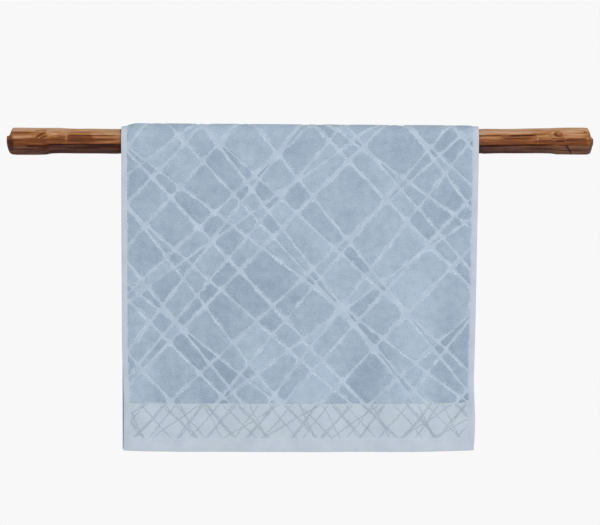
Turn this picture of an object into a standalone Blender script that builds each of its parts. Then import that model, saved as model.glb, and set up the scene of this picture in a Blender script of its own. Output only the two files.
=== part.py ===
"""A bath towel hung over a hewn wooden pole: two solids, in metres, with +Z up.

The origin is on the pole's axis at the middle of its length. +X runs along the pole, and the towel's
face looks along -Y. The towel is laid out flat first, with u across it and v along it from its front
hem, and there its hems, border bands and cut pile get their thickness. Each point is then draped.
"""

import math
from collections import namedtuple

import bmesh
import bpy
from mathutils import Vector

# The flat towel
TOWEL_WIDTH = 0.762
TOWEL_LENGTH = 1.422
GROUND = 0.0016  # woven ground, the thinnest cloth
PILE = 0.0015  # height of the pile on each face
HEM_FOLD = 0.0006  # what a turned hem adds on each face
SIDE_HEM = 0.012
END_HEM = 0.026
BORDER_BAND = 0.077  # flat woven band between an end hem and the pile
SOFT_EDGE = 0.0012  # width of the slope beside a hem or the reverse pile

FIELD_HALF = TOWEL_WIDTH / 2 - SIDE_HEM
FIELD_START = END_HEM + BORDER_BAND
FIELD_END = TOWEL_LENGTH - FIELD_START

# The sculpted net: slanting lines of bare ground between cushions of pile
LINE_HALF = 0.0034
NET_PITCH = 0.104
NET_SLOPE = 1.16
PITCH_SWAY = 0.19  # of the pitch
SLOPE_SWAY = 0.13  # of the slope
COMPANION_EVERY = 2
COMPANION_OFFSET = 0.026
COMPANION_TURN = 0.30  # of the slope
NET_FAMILIES = ((1, 0.7), (-1, 2.2))  # lean and phase of each set of lines
NODE_MERGE = 0.007  # crossings nearer than this become one
LEAST_ROOM = 0.0022  # a cell with less room than this stays bare ground

# The pole, as hewn: distance from its left end, reach up and down, and how flat its six sides are
POLE_LENGTH = 1.252
Station = namedtuple("Station", "place top bottom flatness")
POLE_STATIONS = (
    Station(0.0, 0.0108, 0.0072, 5),
    Station(0.0013, 0.0110, 0.0130, 5),
    Station(0.0028, 0.0113, 0.0180, 5),
    Station(0.0042, 0.0119, 0.0215, 5),
    Station(0.0056, 0.0128, 0.0242, 5),
    Station(0.0075, 0.0168, 0.0265, 5),
    Station(0.0095, 0.0226, 0.0279, 5),
    Station(0.0115, 0.0268, 0.0286, 5),
    Station(0.0135, 0.0283, 0.0290, 5),
    Station(0.022, 0.0288, 0.0297, 6),
    Station(0.059, 0.0287, 0.0296, 6),
    Station(0.084, 0.0282, 0.0289, 7),
    Station(0.095, 0.0281, 0.0268, 8),
    Station(0.114, 0.0281, 0.0262, 10),
    Station(0.134, 0.0268, 0.0263, 12),
    Station(0.159, 0.0262, 0.0266, 14),
    Station(0.234, 0.0260, 0.0271, 14),
    Station(0.247, 0.0258, 0.0262, 14),
    Station(0.419, 0.0255, 0.0257, 14),
    Station(0.619, 0.0256, 0.0256, 14),
    Station(0.819, 0.0252, 0.0254, 14),
    Station(1.005, 0.0254, 0.0260, 14),
    Station(1.019, 0.0262, 0.0274, 14),
    Station(1.054, 0.0260, 0.0267, 14),
    Station(1.096, 0.0266, 0.0265, 12),
    Station(1.139, 0.0275, 0.0263, 10),
    Station(1.161, 0.0279, 0.0266, 9),
    Station(1.174, 0.0284, 0.0286, 7),
    Station(1.204, 0.0288, 0.0292, 6),
    Station(1.231, 0.0288, 0.0292, 6),
    Station(1.2385, 0.0283, 0.0291, 5),
    Station(1.2405, 0.0272, 0.0288, 5),
    Station(1.2425, 0.0236, 0.0282, 5),
    Station(1.2445, 0.0190, 0.0270, 5),
    Station(1.2466, 0.0112, 0.0243, 5),
    Station(1.2487, 0.0080, 0.0180, 5),
    Station(1.2504, 0.0060, 0.0118, 5),
    Station(POLE_LENGTH, 0.0047, 0.0078, 5),
)
POLE_SIDES = 36
POLE_TURN = math.radians(4)  # the side that faces the front looks this far up
POLE_TWIST = math.radians(5)
TWIST_RATE = 5.3

# The hang
FRONT_DROP = 0.6625  # front hem to the level of the pole's axis
WIDEST_SEAT = 0.0262  # the pole's widest radius under the cloth
POLE_GAP = 0.0024
DRAPE_RADIUS = WIDEST_SEAT + POLE_GAP + GROUND / 2 + PILE
HEM_SINK = PILE - HEM_FOLD  # a thin hem lies this much nearer the pole
CROWN = math.pi * DRAPE_RADIUS
LIFT_LEFT = 0.0052  # the cloth stands off the pole at the left, and lies down at the right
SHOULDER = 0.034  # width beside each side hem over which the lift builds up
CORNER_RISE = 0.0035
CORNER_POWER = 6

# How far each side edge hangs in from a straight fall, by its share of the drop
Edge = namedtuple("Edge", "share left right")
FRONT_EDGES = (
    Edge(0.00, 0.0000, 0.0000),
    Edge(0.06, 0.0008, 0.0005),
    Edge(0.19, 0.0008, 0.0024),
    Edge(0.38, 0.0012, 0.0048),
    Edge(0.58, 0.0020, 0.0074),
    Edge(0.67, 0.0024, 0.0090),
    Edge(0.77, 0.0046, 0.0108),
    Edge(0.84, 0.0060, 0.0097),
    Edge(0.90, 0.0062, 0.0080),
    Edge(0.96, 0.0058, 0.0095),
    Edge(1.01, 0.0050, 0.0120),
)
BACK_EDGES = (
    Edge(0.00, 0.0000, 0.0000),
    Edge(0.50, 0.0000, 0.0060),
    Edge(1.01, 0.0008, 0.0122),
)

Fold = namedtuple("Fold", "across half_width depth start drift")
FRONT_FOLDS = (
    Fold(across=-0.352, half_width=0.062, depth=0.0050, start=0.40, drift=0.006),
    Fold(across=-0.285, half_width=0.055, depth=-0.0022, start=0.30, drift=0.012),
    Fold(across=-0.180, half_width=0.092, depth=-0.0060, start=0.22, drift=-0.020),
    Fold(across=-0.078, half_width=0.070, depth=0.0034, start=0.50, drift=0.010),
    Fold(across=0.034, half_width=0.096, depth=0.0058, start=0.12, drift=0.016),
    Fold(across=0.132, half_width=0.082, depth=-0.0056, start=0.42, drift=-0.014),
    Fold(across=0.232, half_width=0.090, depth=0.0058, start=0.15, drift=0.020),
    Fold(across=0.322, half_width=0.078, depth=-0.0055, start=0.28, drift=-0.010),
)
BACK_FOLDS = (
    Fold(across=-0.300, half_width=0.110, depth=-0.0050, start=0.25, drift=0.012),
    Fold(across=-0.140, half_width=0.100, depth=0.0060, start=0.15, drift=-0.018),
    Fold(across=0.040, half_width=0.120, depth=-0.0052, start=0.30, drift=0.010),
    Fold(across=0.210, half_width=0.105, depth=0.0056, start=0.20, drift=-0.012),
    Fold(across=0.345, half_width=0.070, depth=-0.0034, start=0.45, drift=0.006),
)

# How finely the flat cloth is cut before it is bent
CROWN_STEPS = 10
DROP_STEPS = 5
COLUMNS = 16
NEAR_CUT = 0.0009  # a point this near a cut counts as on it

CLOTH_COLOUR = (0.40, 0.50, 0.61)
WOOD_COLOUR = (0.23, 0.10, 0.045)


def clear_scene():
    for thing in list(bpy.data.objects):
        bpy.data.objects.remove(thing, do_unlink=True)


def material(name, colour, roughness):
    made = bpy.data.materials.new(name)
    made.use_nodes = True
    shader = made.node_tree.nodes["Principled BSDF"]
    shader.inputs["Base Color"].default_value = (*colour, 1.0)
    shader.inputs["Roughness"].default_value = roughness
    shader.inputs["Metallic"].default_value = 0.0
    made.diffuse_color = (*colour, 1.0)
    return made


def add_object(name, bm, skin, collection):
    bmesh.ops.recalc_face_normals(bm, faces=bm.faces)
    mesh = bpy.data.meshes.new(name)
    bm.to_mesh(mesh)
    bm.free()
    mesh.materials.append(skin)
    mesh.shade_smooth()
    mesh.set_sharp_from_angle(angle=math.radians(32))
    made = bpy.data.objects.new(name, mesh)
    collection.objects.link(made)
    return made


def smooth(share):
    """0 up to 1 with a soft start and a soft end."""
    share = min(max(share, 0.0), 1.0)
    return share * share * (3 - 2 * share)


def points_of(faces):
    """The corner points of the faces, each once and always in the same order."""
    return list(dict.fromkeys(vert for face in faces for vert in face.verts))


def cut(bm, point, normal, faces=None):
    """Cuts the faces, or all of them, where they cross the plane."""
    chosen = list(faces if faces is not None else bm.faces)
    edges = list(dict.fromkeys(edge for face in chosen for edge in face.edges))
    bmesh.ops.bisect_plane(
        bm,
        geom=[*points_of(chosen), *edges, *chosen],
        dist=NEAR_CUT,
        plane_co=point,
        plane_no=normal,
    )


def flat_faces(bm, facing, inside):
    """The faces of the laid-out cloth that look up (facing 1) or down (-1), whose centre is inside."""
    found = []
    for face in bm.faces:
        if face.normal.z * facing > 0.9:
            centre = face.calc_center_median()
            if inside(centre.x, centre.y):
                found.append(face)
    return found


def raise_faces(bm, faces, by):
    bmesh.ops.translate(bm, vec=(0, 0, by), verts=points_of(faces))


def in_field(u, v):
    return abs(u) < FIELD_HALF and FIELD_START < v < FIELD_END


def in_hem(u, v):
    return abs(u) > FIELD_HALF or v < END_HEM or v > TOWEL_LENGTH - END_HEM


def net_lines():
    """(foot, slope) of each line of the net; foot is where it crosses the middle of the length."""
    reach = FIELD_HALF + (FIELD_END - FIELD_START) / 2 / NET_SLOPE
    count = int(reach / NET_PITCH) + 1
    lines = []
    for lean, phase in NET_FAMILIES:
        for k in range(-count, count + 1):
            foot = NET_PITCH * (k + PITCH_SWAY * math.sin(2.4 * k + phase))
            slope = lean * NET_SLOPE * (1 + SLOPE_SWAY * math.sin(1.7 * k + 2 * phase))
            lines.append((foot, slope))
            if k % COMPANION_EVERY == 0:
                turn = COMPANION_TURN if k % 2 else -COMPANION_TURN
                lines.append((foot + COMPANION_OFFSET * math.cos(k), slope * (1 + turn)))
    return lines


def room_in(face):
    """How far the sides of a cell can move in before its tightest side is used up."""
    corners = {loop.vert: math.tan(loop.calc_angle() / 2) for loop in face.loops}
    rooms = []
    for edge in face.edges:
        first, second = edge.verts
        rooms.append(edge.calc_length() / (1 / corners[first] + 1 / corners[second]))
    return min(rooms)


def sculpt_outer_field(bm):
    """Cuts the face side's field along the net, and raises a cushion of pile in each cell."""
    middle = TOWEL_LENGTH / 2
    for foot, slope in net_lines():
        field = flat_faces(bm, 1, in_field)
        cut(bm, (foot, middle, 0), Vector((slope, -1, 0)).normalized(), field)
    field = flat_faces(bm, 1, in_field)
    verts = points_of(field)
    rim = [vert for vert in verts if any(face not in field for face in vert.link_faces)]
    near = bmesh.ops.find_doubles(bm, verts=verts, keep_verts=rim, dist=NODE_MERGE)
    bmesh.ops.weld_verts(bm, targetmap=near["targetmap"])
    for face in flat_faces(bm, 1, in_field):
        room = room_in(face)
        if room > LEAST_ROOM:
            bmesh.ops.inset_individual(
                bm, faces=[face], thickness=min(LINE_HALF, 0.8 * room), use_even_offset=True
            )
            raise_faces(bm, [face], PILE)


def laid_out_towel():
    """The whole cloth, flat, with its hems and its pile."""
    bm = bmesh.new()
    bmesh.ops.create_cube(bm, size=1)
    bmesh.ops.scale(bm, vec=(TOWEL_WIDTH, TOWEL_LENGTH, GROUND), verts=bm.verts)
    bmesh.ops.translate(bm, vec=(0, TOWEL_LENGTH / 2, 0), verts=bm.verts)
    for u in (-FIELD_HALF, FIELD_HALF):
        cut(bm, (u, 0, 0), (1, 0, 0))
    for v in (END_HEM, FIELD_START, FIELD_END, TOWEL_LENGTH - END_HEM):
        cut(bm, (0, v, 0), (0, 1, 0))
    for facing in (1, -1):
        hems = flat_faces(bm, facing, in_hem)
        bmesh.ops.inset_region(bm, faces=hems, thickness=SOFT_EDGE, use_boundary=True)
        raise_faces(bm, hems, facing * HEM_FOLD)
    reverse = flat_faces(bm, -1, in_field)
    bmesh.ops.inset_region(bm, faces=reverse, thickness=SOFT_EDGE, use_boundary=True)
    raise_faces(bm, reverse, -PILE)
    sculpt_outer_field(bm)
    return bm


def cut_for_bending(bm):
    """Cuts rows and columns through the flat cloth, close together round the pole."""
    back_start = FRONT_DROP + CROWN
    rows = [FRONT_DROP + CROWN * k / CROWN_STEPS for k in range(CROWN_STEPS + 1)]
    rows += [FRONT_DROP * k / DROP_STEPS for k in range(1, DROP_STEPS)]
    rows += [back_start + (TOWEL_LENGTH - back_start) * k / DROP_STEPS for k in range(1, DROP_STEPS)]
    for v in rows:
        cut(bm, (0, v, 0), (0, 1, 0))
    for k in range(1, COLUMNS):
        cut(bm, (TOWEL_WIDTH * (k / COLUMNS - 0.5), 0, 0), (1, 0, 0))
    bmesh.ops.triangulate(bm, faces=bm.faces, quad_method="SHORT_EDGE", ngon_method="BEAUTY")


def fold_depth(folds, u, share):
    """How far the folds push the cloth out at u, at this share of its drop."""
    total = 0.0
    for fold in folds:
        place = fold.across + fold.drift * (1 - share)
        off = (u - place) / fold.half_width
        if abs(off) < 1:
            growth = smooth((share - fold.start) / (1 - fold.start))
            total += fold.depth * growth * (1 + math.cos(math.pi * off)) / 2
    return total


def between(table, value):
    """The table's two entries around the value of their first field, and the share of the way across."""
    for before, after in zip(table, table[1:]):
        if value <= after[0]:
            break
    return before, after, min(max((value - before[0]) / (after[0] - before[0]), 0.0), 1.0)


def drape(u, v, off):
    """Where the flat cloth's point u, v goes that stands this far off the cloth's middle."""
    front = v < FRONT_DROP + CROWN / 2
    down = max(FRONT_DROP - v, v - FRONT_DROP - CROWN, 0.0)
    share = down / FRONT_DROP
    angle = min(max((v - FRONT_DROP) / DRAPE_RADIUS, 0.0), math.pi)
    shoulder = smooth((TOWEL_WIDTH / 2 - abs(u)) / SHOULDER)
    lift = LIFT_LEFT * (0.5 - u / TOWEL_WIDTH) * shoulder
    reach = DRAPE_RADIUS - HEM_SINK * (1 - shoulder) + off
    reach += fold_depth(FRONT_FOLDS if front else BACK_FOLDS, u, share)
    before, after, part = between(FRONT_EDGES if front else BACK_EDGES, share)
    left = before.left + (after.left - before.left) * part
    right = before.right + (after.right - before.right) * part
    corner = CORNER_RISE * abs(2 * u / TOWEL_WIDTH) ** CORNER_POWER * share**4
    x = u + left * (0.5 - u / TOWEL_WIDTH) - right * (0.5 + u / TOWEL_WIDTH)
    y = -math.cos(angle) * reach
    z = math.sin(angle) * (reach + lift) - down + corner
    return Vector((x, y, z))


def make_towel(collection):
    bm = laid_out_towel()
    cut_for_bending(bm)
    for vert in bm.verts:
        vert.co = drape(*vert.co)
    add_object("towel", bm, material("towel_cloth", CLOTH_COLOUR, 0.95), collection)


def section_reach(angle, flatness):
    """Distance to the outline, at this angle, of a rounded six-sided section with unit flats."""
    total = 0.0
    for k in range(6):
        total += max(math.cos(angle - k * math.pi / 3), 0.0) ** flatness
    return total ** (-1 / flatness)


def pole_point(place, across, up):
    """The pole's surface at this distance from its left end, in the direction (across, up)."""
    before, after, share = between(POLE_STATIONS, place)
    top = before.top + (after.top - before.top) * share
    bottom = before.bottom + (after.bottom - before.bottom) * share
    flatness = before.flatness + (after.flatness - before.flatness) * share
    turn = POLE_TURN + POLE_TWIST * math.sin(TWIST_RATE * (place - POLE_LENGTH / 2))
    angle = math.atan2(up, -across)
    radius = (top + bottom) / 2 + (top - bottom) / 2 * math.sin(angle)
    reach = radius * section_reach(angle - turn, flatness)
    reach /= section_reach(math.pi / 2 - POLE_TURN, flatness)
    return Vector((place - POLE_LENGTH / 2, -math.cos(angle) * reach, math.sin(angle) * reach))


def make_pole(collection):
    """A cylinder cut at each station, whose points are then moved to the hewn section."""
    bm = bmesh.new()
    bmesh.ops.create_cone(
        bm, cap_ends=True, segments=POLE_SIDES, radius1=1, radius2=1, depth=POLE_LENGTH
    )
    for station in POLE_STATIONS[1:-1]:
        cut(bm, (0, 0, station.place - POLE_LENGTH / 2), (0, 0, 1))
    for vert in bm.verts:
        vert.co = pole_point(vert.co.z + POLE_LENGTH / 2, vert.co.x, vert.co.y)
    add_object("pole", bm, material("pole_wood", WOOD_COLOUR, 0.5), collection)


def main():
    clear_scene()
    collection = bpy.data.collections.new("bath_towel_on_pole")
    bpy.context.scene.collection.children.link(collection)
    make_towel(collection)
    make_pole(collection)


main()
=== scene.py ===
"""The finish of a bath towel with a sculpted net of pile, hung over a hewn wooden pole.

Metres, +Z up, with the origin on the pole's axis at its middle. The cloth is worked out flat, with u
across it and v along it from its front hem, and every point is then draped over the pole.
"""

from collections import namedtuple

import bpy
import numpy as np
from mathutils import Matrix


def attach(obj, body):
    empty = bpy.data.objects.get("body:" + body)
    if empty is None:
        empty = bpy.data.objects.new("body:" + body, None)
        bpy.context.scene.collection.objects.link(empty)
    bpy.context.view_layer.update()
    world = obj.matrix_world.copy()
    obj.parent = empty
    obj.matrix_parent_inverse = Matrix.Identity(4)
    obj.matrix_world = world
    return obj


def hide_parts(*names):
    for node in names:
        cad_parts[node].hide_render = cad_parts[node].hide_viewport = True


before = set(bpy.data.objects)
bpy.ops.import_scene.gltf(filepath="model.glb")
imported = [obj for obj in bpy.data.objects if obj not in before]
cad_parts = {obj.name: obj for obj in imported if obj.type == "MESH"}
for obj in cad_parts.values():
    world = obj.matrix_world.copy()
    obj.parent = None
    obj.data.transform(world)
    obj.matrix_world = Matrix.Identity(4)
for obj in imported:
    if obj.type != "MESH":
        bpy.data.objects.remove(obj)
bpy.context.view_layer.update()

PICTURE = (600, 525)
PIXEL = 0.002128  # metres, at the towel's face
POLE_ROW = 141.05  # the pole's axis in the picture, which has the pole's middle at its middle

# The flat towel, as in its solid
TOWEL_WIDTH = 0.762
TOWEL_LENGTH = 1.422
HALF = TOWEL_WIDTH / 2
GROUND = 0.0016
PILE = 0.0015
HEM_FOLD = 0.0006
SIDE_HEM = 0.012
END_HEM = 0.026
BORDER_BAND = 0.077
FIELD_HALF = HALF - SIDE_HEM
FIELD_START = END_HEM + BORDER_BAND
FIELD_END = TOWEL_LENGTH - FIELD_START

# The sculpted net, as in the solid, with lines of the cloth's true width
LINE_HALF = 0.0010
LINE_SWAY = 0.36  # of that width, from line to line
LINE_WAVER = 0.0016  # how much further a cushion may stand back from a line
NET_PITCH = 0.104
NET_SLOPE = 1.16
PITCH_SWAY = 0.19
SLOPE_SWAY = 0.13
COMPANION_EVERY = 2
COMPANION_OFFSET = 0.026
COMPANION_TURN = 0.30
NET_FAMILIES = ((1, 0.7), (-1, 2.2))
CELL_SAMPLE = 0.0025  # spacing of the samples that find the cells
LEAST_CELL = 0.0014  # a cushion with less reach than this is left out
RIM_WALLS = 4  # the field's own edges, listed after the lines
RIM_MARGIN = 0.0006  # bare ground beside the side hems

# The hang, as in the solid
FRONT_DROP = 0.6625
WIDEST_SEAT = 0.0262
POLE_GAP = 0.0024
DRAPE_RADIUS = WIDEST_SEAT + POLE_GAP + GROUND / 2 + PILE
HEM_SINK = PILE - HEM_FOLD
CROWN = np.pi * DRAPE_RADIUS
LIFT_LEFT = 0.0052
SHOULDER = 0.034
CORNER_RISE = 0.0035
RISE_POWER = 6

Edge = namedtuple("Edge", "share left right")
FRONT_EDGES = [Edge(*row) for row in (
    (0.00, 0.0000, 0.0000),
    (0.06, 0.0008, 0.0005),
    (0.19, 0.0008, 0.0024),
    (0.38, 0.0012, 0.0048),
    (0.58, 0.0020, 0.0074),
    (0.67, 0.0024, 0.0090),
    (0.77, 0.0046, 0.0108),
    (0.84, 0.0060, 0.0097),
    (0.90, 0.0062, 0.0080),
    (0.96, 0.0058, 0.0095),
    (1.01, 0.0050, 0.0120),
)]
BACK_EDGES = [Edge(*row) for row in (
    (0.00, 0.0000, 0.0000),
    (0.50, 0.0000, 0.0060),
    (1.01, 0.0008, 0.0122),
)]

Fold = namedtuple("Fold", "across half_width depth start drift")
FRONT_FOLDS = [Fold(*row) for row in (
    (-0.352, 0.062, 0.0050, 0.40, 0.006),
    (-0.285, 0.055, -0.0022, 0.30, 0.012),
    (-0.180, 0.092, -0.0060, 0.22, -0.020),
    (-0.078, 0.070, 0.0034, 0.50, 0.010),
    (0.034, 0.096, 0.0058, 0.12, 0.016),
    (0.132, 0.082, -0.0056, 0.42, -0.014),
    (0.232, 0.090, 0.0058, 0.15, 0.020),
    (0.322, 0.078, -0.0055, 0.28, -0.010),
)]
BACK_FOLDS = [Fold(*row) for row in (
    (-0.300, 0.110, -0.0050, 0.25, 0.012),
    (-0.140, 0.100, 0.0060, 0.15, -0.018),
    (0.040, 0.120, -0.0052, 0.30, 0.010),
    (0.210, 0.105, 0.0056, 0.20, -0.012),
    (0.345, 0.070, -0.0034, 0.45, 0.006),
)]

# The pole, as in its solid: distance from its left end, reach up and down, flatness of its six sides
POLE_LENGTH = 1.252
Station = namedtuple("Station", "place top bottom flatness")
POLE_STATIONS = [Station(*row) for row in (
    (0.0, 0.0108, 0.0072, 5),
    (0.0013, 0.0110, 0.0130, 5),
    (0.0028, 0.0113, 0.0180, 5),
    (0.0042, 0.0119, 0.0215, 5),
    (0.0056, 0.0128, 0.0242, 5),
    (0.0075, 0.0168, 0.0265, 5),
    (0.0095, 0.0226, 0.0279, 5),
    (0.0115, 0.0268, 0.0286, 5),
    (0.0135, 0.0283, 0.0290, 5),
    (0.022, 0.0288, 0.0297, 6),
    (0.059, 0.0287, 0.0296, 6),
    (0.084, 0.0282, 0.0289, 7),
    (0.095, 0.0281, 0.0268, 8),
    (0.114, 0.0281, 0.0262, 10),
    (0.134, 0.0268, 0.0263, 12),
    (0.159, 0.0262, 0.0266, 14),
    (0.234, 0.0260, 0.0271, 14),
    (0.247, 0.0258, 0.0262, 14),
    (0.419, 0.0255, 0.0257, 14),
    (0.619, 0.0256, 0.0256, 14),
    (0.819, 0.0252, 0.0254, 14),
    (1.005, 0.0254, 0.0260, 14),
    (1.019, 0.0262, 0.0274, 14),
    (1.054, 0.0260, 0.0267, 14),
    (1.096, 0.0266, 0.0265, 12),
    (1.139, 0.0275, 0.0263, 10),
    (1.161, 0.0279, 0.0266, 9),
    (1.174, 0.0284, 0.0286, 7),
    (1.204, 0.0288, 0.0292, 6),
    (1.231, 0.0288, 0.0292, 6),
    (1.2385, 0.0283, 0.0291, 5),
    (1.2405, 0.0272, 0.0288, 5),
    (1.2425, 0.0236, 0.0282, 5),
    (1.2445, 0.0190, 0.0270, 5),
    (1.2466, 0.0112, 0.0243, 5),
    (1.2487, 0.0080, 0.0180, 5),
    (1.2504, 0.0060, 0.0118, 5),
    (POLE_LENGTH, 0.0047, 0.0078, 5),
)]
POLE_TURN = np.radians(4)
POLE_TWIST = np.radians(5)
TWIST_RATE = 5.3


def smooth(share):
    """0 up to 1 with a soft start and end: 3 s^2 - 2 s^3."""
    share = np.clip(share, 0, 1)
    return share * share * (3 - 2 * share)


def spaced(stops, step):
    """The stops, with evenly spaced values between each two so that none are further apart than step."""
    runs = [
        np.linspace(a, b, max(1, int(np.ceil((b - a) / step - 1e-6))), endpoint=False)
        for a, b in zip(stops, stops[1:])
    ]
    return np.concatenate([*runs, [stops[-1]]])


def read_off(table, place, field):
    """A table's field at each place along its first field, straight between the rows."""
    rows = np.array(table, float)
    return np.interp(place, rows[:, 0], rows[:, table[0]._fields.index(field)])


# The hang of the cloth


def fold_depth(folds, u, share):
    """Sum over the folds of depth * growth down the drop * a raised cosine across the fold."""
    total = 0.0
    for fold in folds:
        off = (u - fold.across - fold.drift * (1 - share)) / fold.half_width
        growth = smooth((share - fold.start) / (1 - fold.start))
        total = total + fold.depth * growth * (1 + np.cos(np.pi * np.clip(off, -1, 1))) / 2
    return total


def ripple(u, v, share):
    """The cloth's own unevenness: a few crossing sine waves, 0.6 mm at most, and none at the pole."""
    waves = np.sin(61 * u + 13 * v + 1.3) * np.sin(29 * v - 17 * u + 0.4)
    waves = waves + 0.7 * np.sin(97 * u - 41 * v + 2.1) * np.sin(53 * v + 37 * u)
    return 0.00035 * waves * smooth(share / 0.15)


Hang = namedtuple("Hang", "front down folds")


def hung(u, v):
    """Whether a flat point is in front, how far down its drop it hangs, and how far its folds stand
    out there."""
    front = v < FRONT_DROP + CROWN / 2
    down = np.maximum(np.maximum(FRONT_DROP - v, v - FRONT_DROP - CROWN), 0)
    share = down / FRONT_DROP
    folds = np.where(front, fold_depth(FRONT_FOLDS, u, share), fold_depth(BACK_FOLDS, u, share))
    return Hang(front, down, folds)


def drape(u, v, off):
    """Where the flat point u, v that stands off the cloth's middle goes: straight down each drop, round
    a half circle over the pole that is a little higher at the left, pushed out along the cloth's
    normal by its folds, and drawn in at the edges."""
    front, down, folds = hung(u, v)
    share = down / FRONT_DROP
    angle = np.clip((v - FRONT_DROP) / DRAPE_RADIUS, 0, np.pi)
    shoulder = smooth((HALF - np.abs(u)) / SHOULDER)
    lift = LIFT_LEFT * (0.5 - u / TOWEL_WIDTH) * shoulder
    reach = DRAPE_RADIUS - HEM_SINK * (1 - shoulder) + off + folds + ripple(u, v, share)
    left, right = (
        np.where(front, read_off(FRONT_EDGES, share, side), read_off(BACK_EDGES, share, side))
        for side in ("left", "right")
    )
    corner = CORNER_RISE * np.abs(u / HALF) ** RISE_POWER * share**4
    x = u + left * (0.5 - u / TOWEL_WIDTH) - right * (0.5 + u / TOWEL_WIDTH)
    y = -np.cos(angle) * reach
    z = np.sin(angle) * (reach + lift) - down + corner
    return np.stack(np.broadcast_arrays(x, y, z), axis=-1)


# Meshes from whole arrays


def add_piece(name, points, faces, finishes, uv=None, chosen=None, attributes=None):
    """A piece from points (n, 3) and a list of face arrays, one for each number of corners."""
    mesh = bpy.data.meshes.new(name)
    corners = np.concatenate([group.ravel() for group in faces])
    sizes = np.concatenate([np.full(len(group), group.shape[1]) for group in faces])
    mesh.vertices.add(len(points))
    mesh.vertices.foreach_set("co", np.ascontiguousarray(points, np.float32).ravel())
    mesh.loops.add(len(corners))
    mesh.loops.foreach_set("vertex_index", corners.astype(np.int32))
    mesh.polygons.add(len(sizes))
    mesh.polygons.foreach_set("loop_start", (np.cumsum(sizes) - sizes).astype(np.int32))
    mesh.polygons.foreach_set("use_smooth", np.ones(len(sizes), bool))
    for finish in finishes:
        mesh.materials.append(finish)
    if chosen is not None:
        mesh.polygons.foreach_set("material_index", chosen.astype(np.int32))
    if uv is not None:
        layer = mesh.uv_layers.new(name="cloth")
        layer.data.foreach_set("uv", np.ascontiguousarray(uv[corners], np.float32).ravel())
    for key, values in (attributes or {}).items():
        mesh.attributes.new(key, "FLOAT", "POINT").data.foreach_set("value", values.astype(np.float32))
    mesh.update(calc_edges=True)
    piece = bpy.data.objects.new(name, mesh)
    bpy.context.scene.collection.objects.link(piece)
    return piece


def grid_quads(rows, columns, close=False):
    """Corner numbers of the quads of a rows by columns grid, row first; close joins the last column to
    the first."""
    number = np.arange(rows * columns).reshape(rows, columns)
    if close:
        number = np.concatenate([number, number[:, :1]], axis=1)
    corners = [number[:-1, :-1], number[:-1, 1:], number[1:, 1:], number[1:, :-1]]
    return np.stack(corners, axis=-1).reshape(-1, 4)


def end_fans(rings, spokes):
    """Triangles that close a stack of rings onto two tips, which follow the rings' points."""
    ring = np.arange(spokes)
    after = np.roll(ring, -1)
    last = (rings - 1) * spokes
    first = np.stack([after, ring, np.full(spokes, rings * spokes)], axis=1)
    return first, np.stack([ring + last, after + last, np.full(spokes, rings * spokes + 1)], axis=1)


def strip_quads(first, second):
    """Quads between two lines of corner numbers."""
    return np.stack([first[:-1], first[1:], second[1:], second[:-1]], axis=-1)


def repeated(faces, count, points_each):
    """The faces of one shape, repeated for each of count shapes whose points follow each other."""
    shift = np.arange(count)[:, None, None] * points_each
    return (faces[None] + shift).reshape(-1, faces.shape[1])


# The woven cloth

STEP = 0.0012  # how far the step from a hem to the flat cloth takes
PUCKER = 0.00012  # height of the waves that a seam draws in the cloth
ROUNDING = 0.0014  # how far in the outer edge is rounded
RIM_STOPS = (0, 0.0002, 0.0006, ROUNDING)
DROP_CELL = 0.0072  # spacing of the cloth's grid on its drops
CROWN_CELL = 0.0030  # and over the pole
FIELD, BAND, HEM, REVERSE = range(4)  # the cloth's finishes, in their order


def hem_height(side, end):
    """What the turned hems add, from the distances to the side and end edges: a step with a soft
    edge."""
    rise_side = 1 - smooth((side - SIDE_HEM) / STEP + 0.5)
    rise_end = 1 - smooth((end - END_HEM) / STEP + 0.5)
    return HEM_FOLD * np.maximum(rise_side, rise_end)


def pucker(along, away, pitch, reach):
    """Waves along a seam, which die away from it like a bell."""
    return PUCKER * np.sin(2 * np.pi * along / pitch) * np.exp(-((away / reach) ** 2))


def cloth_half_thickness(u, v, pile):
    """From the cloth's middle to its surface: half the ground, the hems, pile where it stands on the
    field, a rounded outer edge, and the faint pucker of the hem's seam."""
    side = HALF - np.abs(u)
    end = np.minimum(v, TOWEL_LENGTH - v)
    hem = hem_height(side, end)
    puckers = pucker(v, side - SIDE_HEM, 0.0087, 0.004) + pucker(u, end - END_HEM, 0.0091, 0.005)
    field = smooth((side - SIDE_HEM - 0.0003) / 0.0016) * smooth((end - FIELD_START) / 0.0018)
    round_off = np.clip(np.minimum(side, end) / ROUNDING, 0, 1)
    edge = 0.3 + 0.7 * np.sqrt(1 - (1 - round_off) ** 2)
    return (GROUND / 2 + hem + puckers) * edge + pile * field


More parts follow.
